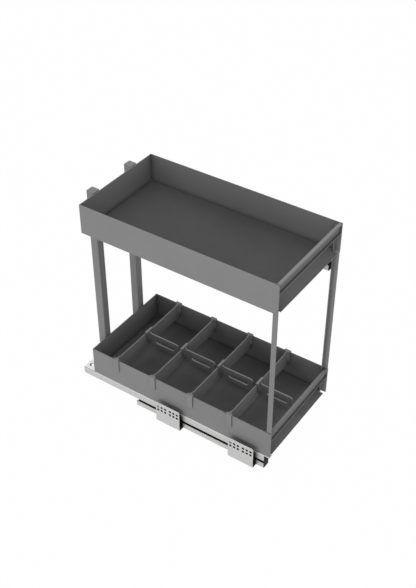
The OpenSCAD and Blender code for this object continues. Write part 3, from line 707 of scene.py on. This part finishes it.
def grid_points(tree, given):
    """Points in columns and rows."""
    link = tree.links.new
    column = tree.nodes.new("GeometryNodeMeshLine")
    row = tree.nodes.new("GeometryNodeMeshLine")
    column.mode = row.mode = "OFFSET"
    link(given.outputs["Columns"], column.inputs["Count"])
    link(given.outputs["Start"], column.inputs["Start Location"])
    link(given.outputs["Column step"], column.inputs["Offset"])
    link(given.outputs["Rows"], row.inputs["Count"])
    link(given.outputs["Row step"], row.inputs["Offset"])
    spread = tree.nodes.new("GeometryNodeInstanceOnPoints")
    link(column.outputs["Mesh"], spread.inputs["Points"])
    link(row.outputs["Mesh"], spread.inputs["Instance"])
    realize = tree.nodes.new("GeometryNodeRealizeInstances")
    link(spread.outputs["Instances"], realize.inputs["Geometry"])
    return realize.outputs["Geometry"]


def end_tree(tree, given, result, points, shape, smooth=True):
    """Puts the shape on the points and ends in realized geometry with its finish."""
    link = tree.links.new
    put = tree.nodes.new("GeometryNodeInstanceOnPoints")
    link(points, put.inputs["Points"])
    link(shape, put.inputs["Instance"])
    realize = tree.nodes.new("GeometryNodeRealizeInstances")
    link(put.outputs["Instances"], realize.inputs["Geometry"])
    shading = tree.nodes.new("GeometryNodeSetShadeSmooth")
    shading.inputs["Shade Smooth"].default_value = smooth
    link(realize.outputs["Geometry"], shading.inputs["Geometry"])
    paint = tree.nodes.new("GeometryNodeSetMaterial")
    link(shading.outputs["Geometry"], paint.inputs["Geometry"])
    link(given.outputs["Finish"], paint.inputs["Material"])
    link(paint.outputs["Geometry"], result.inputs["Geometry"])


def ball_tree():
    """Balls in two rows."""
    tree, given, result = new_tree(
        "Ball rows", GRID_INPUTS + (("Radius", "NodeSocketFloat", 0.0025),))
    ball = tree.nodes.new("GeometryNodeMeshUVSphere")
    ball.inputs["Segments"].default_value = 24
    ball.inputs["Rings"].default_value = 16
    tree.links.new(given.outputs["Radius"], ball.inputs["Radius"])
    end_tree(tree, given, result, grid_points(tree, given), ball.outputs["Mesh"])
    return tree


def rivet_tree():
    """Pressed rivets: a shank that points up and a low coned head under it."""
    tree, given, result = new_tree("Rivets", GRID_INPUTS + (
        ("Head radius", "NodeSocketFloat", RIVET_HEAD_R),
        ("Head height", "NodeSocketFloat", RIVET_HEAD_H),
        ("Shank radius", "NodeSocketFloat", RIVET_SHANK_R),
        ("Shank length", "NodeSocketFloat", RIVET_SHANK_L),
    ))
    link = tree.links.new
    cone = tree.nodes.new("GeometryNodeMeshCone")
    cone.inputs["Vertices"].default_value = 40
    cone.inputs["Side Segments"].default_value = 2
    link(given.outputs["Head radius"], cone.inputs["Radius Bottom"])
    narrow = tree.nodes.new("ShaderNodeMath")
    narrow.operation = "MULTIPLY"
    narrow.inputs[1].default_value = RIVET_TAPER
    link(given.outputs["Head radius"], narrow.inputs[0])
    link(narrow.outputs["Value"], cone.inputs["Radius Top"])
    link(given.outputs["Head height"], cone.inputs["Depth"])
    shank = tree.nodes.new("GeometryNodeMeshCylinder")
    shank.inputs["Vertices"].default_value = 32
    link(given.outputs["Shank radius"], shank.inputs["Radius"])
    link(given.outputs["Shank length"], shank.inputs["Depth"])
    lift = tree.nodes.new("ShaderNodeMath")
    lift.operation = "MULTIPLY"
    lift.inputs[1].default_value = 0.5
    link(given.outputs["Shank length"], lift.inputs[0])
    raised = tree.nodes.new("ShaderNodeCombineXYZ")
    link(lift.outputs["Value"], raised.inputs["Z"])
    shift = tree.nodes.new("GeometryNodeTransform")
    link(shank.outputs["Mesh"], shift.inputs["Geometry"])
    link(raised.outputs["Vector"], shift.inputs["Translation"])
    turn = tree.nodes.new("GeometryNodeTransform")
    turn.inputs["Rotation"].default_value = (math.pi, 0.0, 0.0)
    link(cone.outputs["Mesh"], turn.inputs["Geometry"])
    join = tree.nodes.new("GeometryNodeJoinGeometry")
    link(turn.outputs["Geometry"], join.inputs["Geometry"])
    link(shift.outputs["Geometry"], join.inputs["Geometry"])
    end_tree(tree, given, result, grid_points(tree, given), join.outputs["Geometry"], False)
    return tree


def grown_mesh(name, tree, **values):
    """The plain mesh that a geometry tree makes from its inputs."""
    carrier = bpy.data.objects.new(name, bpy.data.meshes.new(name))
    bpy.context.scene.collection.objects.link(carrier)
    modifier = carrier.modifiers.new("Grown", "NODES")
    modifier.node_group = tree
    for item in tree.interface.items_tree:
        key = item.name.lower().replace(" ", "_")
        if item.item_type == "SOCKET" and item.in_out == "INPUT" and key in values:
            modifier[item.identifier] = values[key]
    graph = bpy.context.evaluated_depsgraph_get()
    mesh = bpy.data.meshes.new_from_object(carrier.evaluated_get(graph))
    carrier.modifiers.clear()
    old = carrier.data
    bpy.data.objects.remove(carrier)
    bpy.data.meshes.remove(old)
    if not mesh.polygons:
        raise RuntimeError(f"{name} came out empty")
    return mesh


def joined_mesh(name, parts):
    """One mesh from several, which are removed."""
    shape = bmesh.new()
    finish = parts[0].materials[0] if parts[0].materials else None
    for part in parts:
        shape.from_mesh(part)
    mesh = bpy.data.meshes.new(name)
    shape.to_mesh(mesh)
    shape.free()
    if finish is not None:
        mesh.materials.append(finish)
    for part in parts:
        bpy.data.meshes.remove(part)
    return mesh


# ---------------------------------------------------------------- operators

class ORGANIZER_OT_stage(Operator):
    """Sets up the camera, the lamps, the world and the pale floor"""
    bl_idname = "organizer.stage"
    bl_label = "Stage"

    def execute(self, context):
        settings = context.scene.organizer_stage
        self.camera(context)
        self.world(context, settings)
        low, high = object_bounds()
        middle = (low + high) / 2
        self.lamp("side_lamp", middle, (-0.2, -1.6, -0.16), (1.6, 0.16), settings.side)
        self.lamp("top_lamp", middle, (0.1, -0.65, 1.8), (1.5, 1.5), settings.top)
        self.floor(low.z - settings.floor_drop, settings)
        context.scene.view_settings.view_transform = "Standard"
        return {"FINISHED"}

    def camera(self, context):
        """The camera of the photograph."""
        data = bpy.data.cameras.new("camera")
        data.sensor_width = SENSOR_MM
        data.lens = SENSOR_MM * CAMERA_FOCAL_PX / IMAGE_LONG_SIDE
        data.clip_end = 60.0
        camera = bpy.data.objects.new("camera", data)
        context.scene.collection.objects.link(camera)
        camera.location = CAMERA_PLACE
        flat = math.cos(CAMERA_ELEVATION)
        look = Vector((
            -math.sin(CAMERA_AZIMUTH) * flat, math.cos(CAMERA_AZIMUTH) * flat,
            -math.sin(CAMERA_ELEVATION)))
        camera.rotation_euler = look.to_track_quat("-Z", "Y").to_euler()
        context.scene.camera = camera

    def world(self, context, settings):
        """An even sky, white where it is seen and weaker where it lights."""
        world = bpy.data.worlds.new("even_sky")
        world.use_nodes = True
        tree = world.node_tree
        tree.nodes.clear()
        output = tree.nodes.new("ShaderNodeOutputWorld")
        light = tree.nodes.new("ShaderNodeBackground")
        seen = tree.nodes.new("ShaderNodeBackground")
        light.inputs["Strength"].default_value = settings.sky
        seen.inputs["Strength"].default_value = 1.0
        for sky in (light, seen):
            sky.inputs["Color"].default_value = (1.0, 1.0, 1.0, 1.0)
        mix = tree.nodes.new("ShaderNodeMixShader")
        tree.links.new(self.seen_directly(tree), mix.inputs["Fac"])
        tree.links.new(light.outputs["Background"], mix.inputs[1])
        tree.links.new(seen.outputs["Background"], mix.inputs[2])
        tree.links.new(mix.outputs["Shader"], output.inputs["Surface"])
        context.scene.world = world

    def seen_directly(self, tree):
        """1 for rays of the camera, of gloss and through glass, 0 for others."""
        path = tree.nodes.new("ShaderNodeLightPath")
        total = path.outputs["Is Camera Ray"]
        for other in ("Is Glossy Ray", "Is Transmission Ray"):
            larger = tree.nodes.new("ShaderNodeMath")
            larger.operation = "MAXIMUM"
            tree.links.new(total, larger.inputs[0])
            tree.links.new(path.outputs[other], larger.inputs[1])
            total = larger.outputs["Value"]
        return total

    def lamp(self, name, middle, offset, size, strength):
        """A flat lamp; at strength 1 a surface that faces it renders in its own colour."""
        data = bpy.data.lights.new(name, "AREA")
        data.shape = "RECTANGLE"
        data.size, data.size_y = size
        offset = Vector(offset)
        data.energy = strength * math.pi ** 2 * offset.length_squared
        lamp = bpy.data.objects.new(name, data)
        bpy.context.scene.collection.objects.link(lamp)
        lamp.location = middle + offset
        lamp.rotation_euler = (-offset).to_track_quat("-Z", "Y").to_euler()

    def floor(self, height, settings):
        """A floor that is seen white and throws back its own grey."""
        half = settings.floor_size / 2
        mesh = bpy.data.meshes.new("floor")
        corners = [(x * half, y * half, height) for x, y in ((-1, -1), (1, -1), (1, 1), (-1, 1))]
        mesh.from_pydata(corners, [], [(0, 1, 2, 3)])
        floor = bpy.data.objects.new("floor", mesh)
        bpy.context.scene.collection.objects.link(floor)
        finish = bpy.data.materials.new("white_floor")
        finish.use_nodes = True
        tree = finish.node_tree
        tree.nodes.clear()
        output = tree.nodes.new("ShaderNodeOutputMaterial")
        matt = tree.nodes.new("ShaderNodeBsdfDiffuse")
        matt.inputs["Color"].default_value = (*[settings.floor_grey] * 3, 1.0)
        white = tree.nodes.new("ShaderNodeEmission")
        white.inputs["Strength"].default_value = 1.0
        share = tree.nodes.new("ShaderNodeMath")
        share.operation = "MULTIPLY"
        share.inputs[1].default_value = 0.99
        tree.links.new(self.seen_directly(tree), share.inputs[0])
        mix = tree.nodes.new("ShaderNodeMixShader")
        tree.links.new(share.outputs["Value"], mix.inputs["Fac"])
        tree.links.new(matt.outputs["BSDF"], mix.inputs[1])
        tree.links.new(white.outputs["Emission"], mix.inputs[2])
        tree.links.new(mix.outputs["Shader"], output.inputs["Surface"])
        mesh.materials.append(finish)
        floor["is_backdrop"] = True


class ORGANIZER_OT_trays(Operator):
    """Dresses the folded sides, rear walls and floors of both trays"""
    bl_idname = "organizer.trays"
    bl_label = "Trays"

    def execute(self, context):
        edge = context.scene.organizer_sheet.edge
        for tier in TIERS:
            for part in ("near_side", "far_side", "back", "floor"):
                # The lower tray's back takes the post coat, without the painted shade of wide
                # hollows
                is_lower_back = (tier, part) == ("lower", "back")
                coat = post_finish(context) if is_lower_back else paint_finish(context)
                dressed_node(f"{tier}_tray_{part}", f"{tier}_{part}", coat,
                             "pull_out", edge)
        return {"FINISHED"}


class ORGANIZER_OT_front_rails(Operator):
    """Dresses the front rails of both trays"""
    bl_idname = "organizer.front_rails"
    bl_label = "Front rails"

    def execute(self, context):
        for tier in TIERS:
            dressed_node(f"{tier}_rail_front", f"{tier}_front_rail", rail_finish(context),
                         "pull_out", context.scene.organizer_sheet.edge)
        return {"FINISHED"}


class ORGANIZER_OT_posts(Operator):
    """Dresses the four posts with their pads and caps"""
    bl_idname = "organizer.posts"
    bl_label = "Posts"

    def execute(self, context):
        edge = context.scene.organizer_sheet.edge
        for node in ("near_front_post", "far_front_post", "near_rear_post", "far_rear_post",
                     "rear_post_pads"):
            # The far front post takes a coat with painted light on upright faces and undersides
            coat = far_post_finish(context) if node == "far_front_post" else post_finish(context)
            dressed_node(f"{node}_dressed", node, coat, "pull_out", edge)
        caps = finish_called("grey_plastic_cap", moulded_plastic, grey(0.19), 0.0006)
        dressed_node("rear_post_caps_dressed", "rear_post_caps", caps,
                     "pull_out", REAR_CAP_EDGE, 3)
        return {"FINISHED"}


class ORGANIZER_OT_mats(Operator):
    """Lays the non-slip mats on both floors"""
    bl_idname = "organizer.mats"
    bl_label = "Mats"

    def execute(self, context):
        settings = context.scene.organizer_mat
        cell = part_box("cross_divider_1")[0].x
        # The tier tones are painted light: the lower mat paler than the upper, and its rear cell
        # paler still
        for tier, tone, cell_tone in (("lower", settings.lower_tone, settings.cell_tone),
                                      ("upper", settings.upper_tone, 1.0)):
            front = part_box(f"{tier}_mat")[1].x
            rubber = finish_called(
                f"{tier}_mat_rubber", mat_rubber, settings, tone, front, cell, cell_tone)
            dressed_node(f"{tier}_mat_dressed", f"{tier}_mat", rubber,
                         "pull_out", settings.edge)
        return {"FINISHED"}


class ORGANIZER_OT_slides(Operator):
    """Dresses the rails, carrier strips, spacer bar, end caps, cages and screws of both slides"""
    bl_idname = "organizer.slides"
    bl_label = "Slides"

    def execute(self, context):
        settings = context.scene.organizer_slide
        zinc, greased = zinc_finish(context), greased_and_shaded_finish(context)
        black = finish_called("black_cap_plastic", moulded_plastic, tuple(settings.cap), 0.0005,
                              rough=0.55, specular=0.12)
        for tier in TIERS:
            pieces = {}
            for part, body, finish in (
                    ("cabinet_rail", "cabinet_side", zinc),
                    ("middle_rail", f"{tier}_middle", greased),
                    ("drawer_rail", "pull_out", zinc),
                    ("carrier_strip", "pull_out", zinc)):
                pieces[part] = dressed_node(f"{tier}_{part}_dressed", f"{tier}_{part}", finish,
                                            body, settings.edge)
            self.darken_bores(context, tier, pieces)
            self.darken_edges(context, tier, pieces["carrier_strip"])
            # Painted shade: the lips' upward faces take the bracket zinc, which darkens them in
            # hollows
            lip_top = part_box(f"{tier}_cabinet_rail")[1].z
            refinish(pieces["cabinet_rail"].data, bracket_finish(context),
                     lambda face: face.center.z > lip_top - LIP_DEPTH and face.normal.z > 0.3)
            dressed_node(f"{tier}_end_cap_dressed", f"{tier}_end_cap", black,
                         "pull_out", END_CAP_EDGE)
            for part in ("cabinet_cage", "drawer_cage"):
                paint_node(f"{tier}_{part}", greased)
            paint_node(f"{tier}_slide_screws", bright_finish(context))
        dressed_node("upper_spacer_bar_dressed", "upper_spacer_bar", zinc,
                     "pull_out", settings.edge)
        return {"FINISHED"}

    def darken_bores(self, context, tier, pieces):
        """Paints the walls of the hooking hole and of the locating hole near-black as painted
        shade.
        """
        sheared = shade_black_finish(context)
        low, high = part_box(f"{tier}_carrier_strip")
        middle = (low + high) / 2
        darken_bore(pieces["carrier_strip"], sheared,
                    (low.x + HOOK_IN, middle.y, middle.z), Vector((0, 0, 1)), HOOK_R)
        low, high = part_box(f"{tier}_drawer_rail")
        middle = (low + high) / 2
        darken_bore(pieces["drawer_rail"], sheared,
                    (low.x + LOCATE_IN, middle.y, middle.z), Vector((0, 1, 0)), LOCATE_R)

    def darken_edges(self, context, tier, strip):
        """Paints the long edges of the carrier strip behind the tray near-black as painted shade.
        """
        tray_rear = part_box(f"{tier}_near_side")[0].x
        shape = bmesh.new()
        shape.from_mesh(strip.data)
        everything = shape.verts[:] + shape.edges[:] + shape.faces[:]
        bmesh.ops.bisect_plane(
            shape, geom=everything, plane_co=(tray_rear, 0.0, 0.0), plane_no=(1.0, 0.0, 0.0))
        shape.to_mesh(strip.data)
        shape.free()
        refinish(strip.data, shade_black_finish(context),
                 lambda face: face.center.x < tray_rear and abs(face.normal.y) > 0.15)


class ORGANIZER_OT_slide_balls(Operator):
    """Sets the balls into their cages"""
    bl_idname = "organizer.slide_balls"
    bl_label = "Slide balls"

    def execute(self, context):
        settings = context.scene.organizer_slide
        tree = ball_tree()
        radius, pitch = settings.ball_radius, settings.ball_pitch
        for tier in TIERS:
            for side in ("cabinet", "drawer"):
                node = f"{tier}_{side}_balls"
                low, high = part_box(node)
                count = round((high.x - low.x - 2 * radius) / pitch) + 1
                mesh = grown_mesh(
                    node + "_dressed", tree, start=(low.x + radius, low.y + radius, low.z + radius),
                    column_step=(pitch, 0.0, 0.0), columns=count,
                    row_step=(0.0, high.y - low.y - 2 * radius, 0.0), rows=2,
                    radius=radius, finish=greased_and_shaded_finish(context))
                place_piece(
                    node + "_dressed", mesh, f"{tier}_{side}_cage_body", (node,))
        return {"FINISHED"}


class ORGANIZER_OT_brackets(Operator):
    """Dresses the four punched brackets"""
    bl_idname = "organizer.brackets"
    bl_label = "Brackets"

    def execute(self, context):
        settings = context.scene.organizer_slide
        for tier in TIERS:
            for place in ("rear", "front"):
                near = tier == "lower"
                piece = dressed_node(
                    f"{tier}_{place}_bracket_dressed", f"{tier}_{place}_bracket",
                    bracket_finish(context), "cabinet_side", settings.bracket_edge,
                    prepare=lambda shape: self.sink_holes(shape, settings.hole_chamfer, near))
                self.darken_holes(piece.data, context, near)
        return {"FINISHED"}

    def sink_holes(self, shape, chamfer, near):
        """Chamfers the outer rims of the holes in the upright plate."""
        ys = [vertex.co.y for vertex in shape.verts]
        outer = min(ys) if near else max(ys)
        is_inside = within_outline(shape.verts, HOLE_INSET)
        rims = [edge for edge in shape.edges
                if all(is_inside(vertex.co) and abs(vertex.co.y - outer) < 0.01 * MM
                       for vertex in edge.verts)
                and len(edge.link_faces) == 2 and edge.calc_face_angle() > RIM_ANGLE]
        if not rims:
            raise RuntimeError("the bracket has no hole to chamfer")
        bmesh.ops.bevel(shape, geom=rims, offset=chamfer, offset_type="OFFSET", segments=1,
                        affect="EDGES")

    def darken_holes(self, mesh, context, near):
        """Paints the rims of the plate's holes and the ends of the flange near-black as painted
        shade.
        """
        ys = [vertex.co.y for vertex in mesh.vertices]
        outer = min(ys) if near else max(ys)
        is_inside = within_outline(mesh.vertices, HOLE_INSET)

        def is_rim(face):
            if abs(face.center.y - outer) > PLATE_DEPTH:
                return abs(face.normal.x) > 0.5
            return is_inside(face.center) and abs(face.normal.y) < 0.97

        refinish(mesh, shade_black_finish(context), is_rim)


class ORGANIZER_OT_rivets(Operator):
    """Presses the rivets that hold the cabinet rails on the brackets"""
    bl_idname = "organizer.rivets"
    bl_label = "Rivets"

    def execute(self, context):
        tree = rivet_tree()
        parts = []
        for tier in TIERS:
            rail_low, rail_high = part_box(f"{tier}_cabinet_rail")
            middle_y = (rail_low.y + rail_high.y) / 2
            for place in ("rear", "front"):
                low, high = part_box(f"{tier}_{place}_bracket")
                middle_x = (low.x + high.x) / 2
                parts.append(grown_mesh(
                    f"{tier}_{place}_rivets", tree,
                    start=(middle_x - RIVET_PITCH / 2, middle_y, low.z),
                    column_step=(RIVET_PITCH, 0.0, 0.0), columns=2,
                    row_step=(0.0, 0.0, 0.0), rows=1,
                    head_radius=RIVET_HEAD_R, head_height=RIVET_HEAD_H,
                    shank_radius=RIVET_SHANK_R, shank_length=RIVET_SHANK_L,
                    finish=bright_finish(context)))
        place_piece("bracket_rivets_dressed", joined_mesh("bracket_rivets_dressed", parts),
                    "cabinet_side", ("bracket_rivets",))
        return {"FINISHED"}


class ORGANIZER_OT_cross_dividers(Operator):
    """Dresses the cross dividers"""
    bl_idname = "organizer.cross_dividers"
    bl_label = "Cross dividers"

    def execute(self, context):
        settings = context.scene.organizer_divider
        plastic = finish_called(
            "grey_divider_plastic", moulded_plastic, tuple(settings.plastic), settings.grain)
        for number in DIVIDERS:
            dressed_node(f"cross_divider_{number}_dressed", f"cross_divider_{number}", plastic,
                         f"divider_{number}", settings.edge, 3)
        return {"FINISHED"}


class ORGANIZER_OT_tongue_dividers(Operator):
    """Dresses the tongue dividers"""
    bl_idname = "organizer.tongue_dividers"
    bl_label = "Tongue dividers"

    def execute(self, context):
        settings = context.scene.organizer_divider
        # The tongues take a darker copy of the divider plastic as painted shade, with painted light
        # on faces that look up
        plastic = finish_called(
            "grey_tongue_plastic", moulded_plastic, shade(settings.plastic, 0.68), settings.grain,
            rubbed=1.9)
        for number in DIVIDERS:
            dressed_node(f"tongue_divider_{number}_dressed", f"tongue_divider_{number}", plastic,
                         f"tongue_{number}", settings.edge, 3)
        return {"FINISHED"}


OPERATORS = (
    ORGANIZER_OT_stage,
    ORGANIZER_OT_trays,
    ORGANIZER_OT_front_rails,
    ORGANIZER_OT_posts,
    ORGANIZER_OT_mats,
    ORGANIZER_OT_slides,
    ORGANIZER_OT_slide_balls,
    ORGANIZER_OT_brackets,
    ORGANIZER_OT_rivets,
    ORGANIZER_OT_cross_dividers,
    ORGANIZER_OT_tongue_dividers,
)


class ORGANIZER_PT_panel(Panel):
    """Lists the steps and their settings"""
    bl_idname = "ORGANIZER_PT_panel"
    bl_label = "Pull-out organizer"
    bl_space_type = "VIEW_3D"
    bl_region_type = "UI"
    bl_category = "Organizer"

    def draw(self, context):
        for label, key, group in SETTINGS:
            box = self.layout.box()
            box.label(text=label)
            for field in group.__annotations__:
                box.prop(getattr(context.scene, key), field)
        for step in OPERATORS:
            self.layout.operator(step.bl_idname)


SETTINGS = (
    ("Sheet steel", "organizer_sheet", OrganizerSheetSettings),
    ("Mats", "organizer_mat", OrganizerMatSettings),
    ("Slides", "organizer_slide", OrganizerSlideSettings),
    ("Dividers", "organizer_divider", OrganizerDividerSettings),
    ("Stage", "organizer_stage", OrganizerStageSettings),
)


def register():
    for _, key, group in SETTINGS:
        bpy.utils.register_class(group)
        setattr(bpy.types.Scene, key, PointerProperty(type=group))
    for step in OPERATORS:
        bpy.utils.register_class(step)
    bpy.utils.register_class(ORGANIZER_PT_panel)


def unregister():
    bpy.utils.unregister_class(ORGANIZER_PT_panel)
    for step in reversed(OPERATORS):
        bpy.utils.unregister_class(step)
    for _, key, group in reversed(SETTINGS):
        delattr(bpy.types.Scene, key)
        bpy.utils.unregister_class(group)


def main():
    register()
    for step in OPERATORS:
        family, action = step.bl_idname.split(".")
        getattr(getattr(bpy.ops, family), action)()


if __name__ == "__main__":
    main()
